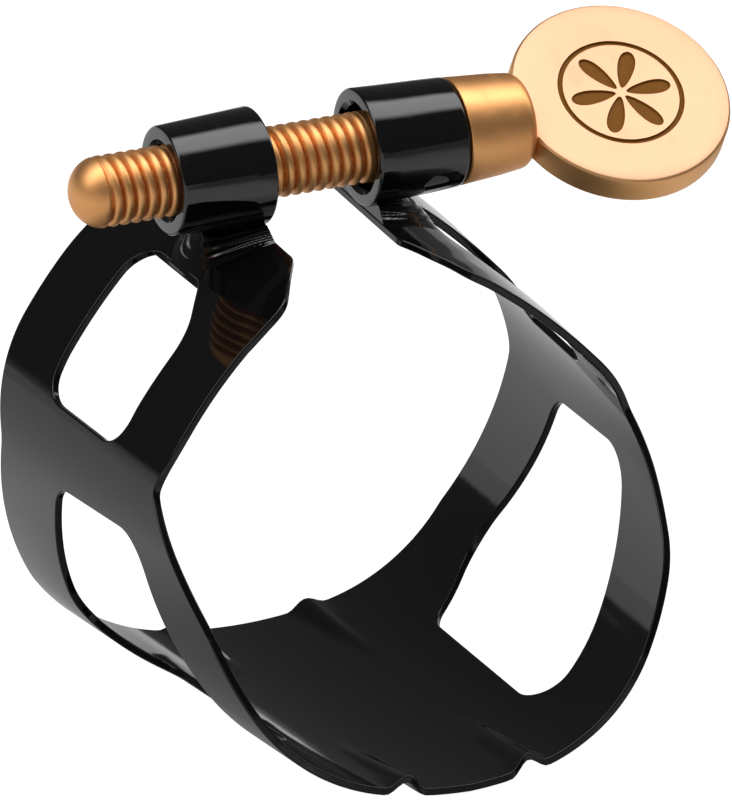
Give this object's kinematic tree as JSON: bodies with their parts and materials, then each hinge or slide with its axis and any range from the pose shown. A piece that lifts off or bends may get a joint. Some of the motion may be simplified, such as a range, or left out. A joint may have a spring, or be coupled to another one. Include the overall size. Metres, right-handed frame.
{
  "type": "saxophone ligature",
  "caption": "Lacquered sheet-metal clamp ring with cut-out sides, pressed reed rails and one thumb screw, which squeezes a reed onto a saxophone mouthpiece.",
  "frame": {"origin": "on the mouthpiece bore's axis, half-way between the two rims of the reed plate", "axes": "+Y along the bore towards its wide rim, +X along the clamp screw towards its thumb disc, +Z from the reed plate up to the screw"},
  "size_m": [0.0357, 0.027, 0.0312],
  "materials": {
    "black_lacquer": "gloss",
    "gold_plate": "gloss",
    "disc_plate": "satin"
  },
  "bodies": {
    "seat": {"band_seat": "black_lacquer", "barrel_threaded": "black_lacquer", "braze_threaded": "black_lacquer"},
    "arm": {"band_arm": "black_lacquer", "barrel_plain": "black_lacquer", "braze_plain": "black_lacquer"},
    "thumb_screw": {"screw": "gold_plate", "thumb_disc": "disc_plate"}
  },
  "joints": [
    {"name": "squeeze", "type": "slide", "parent": "seat", "child": "arm", "axis": [-1, 0, 0], "range_m": [-0.0018, 0.0024]},
    {"name": "screw_turn", "type": "hinge", "parent": "arm", "child": "thumb_screw", "pos_m": [0, 0.0047, 0.01353], "axis": [-1, 0, 0], "range_deg": [-1080, 1440]}
  ],
  "couplings": [
    {"joint": "screw_turn", "follows": "squeeze", "rad_per_m": 10472}
  ]
}
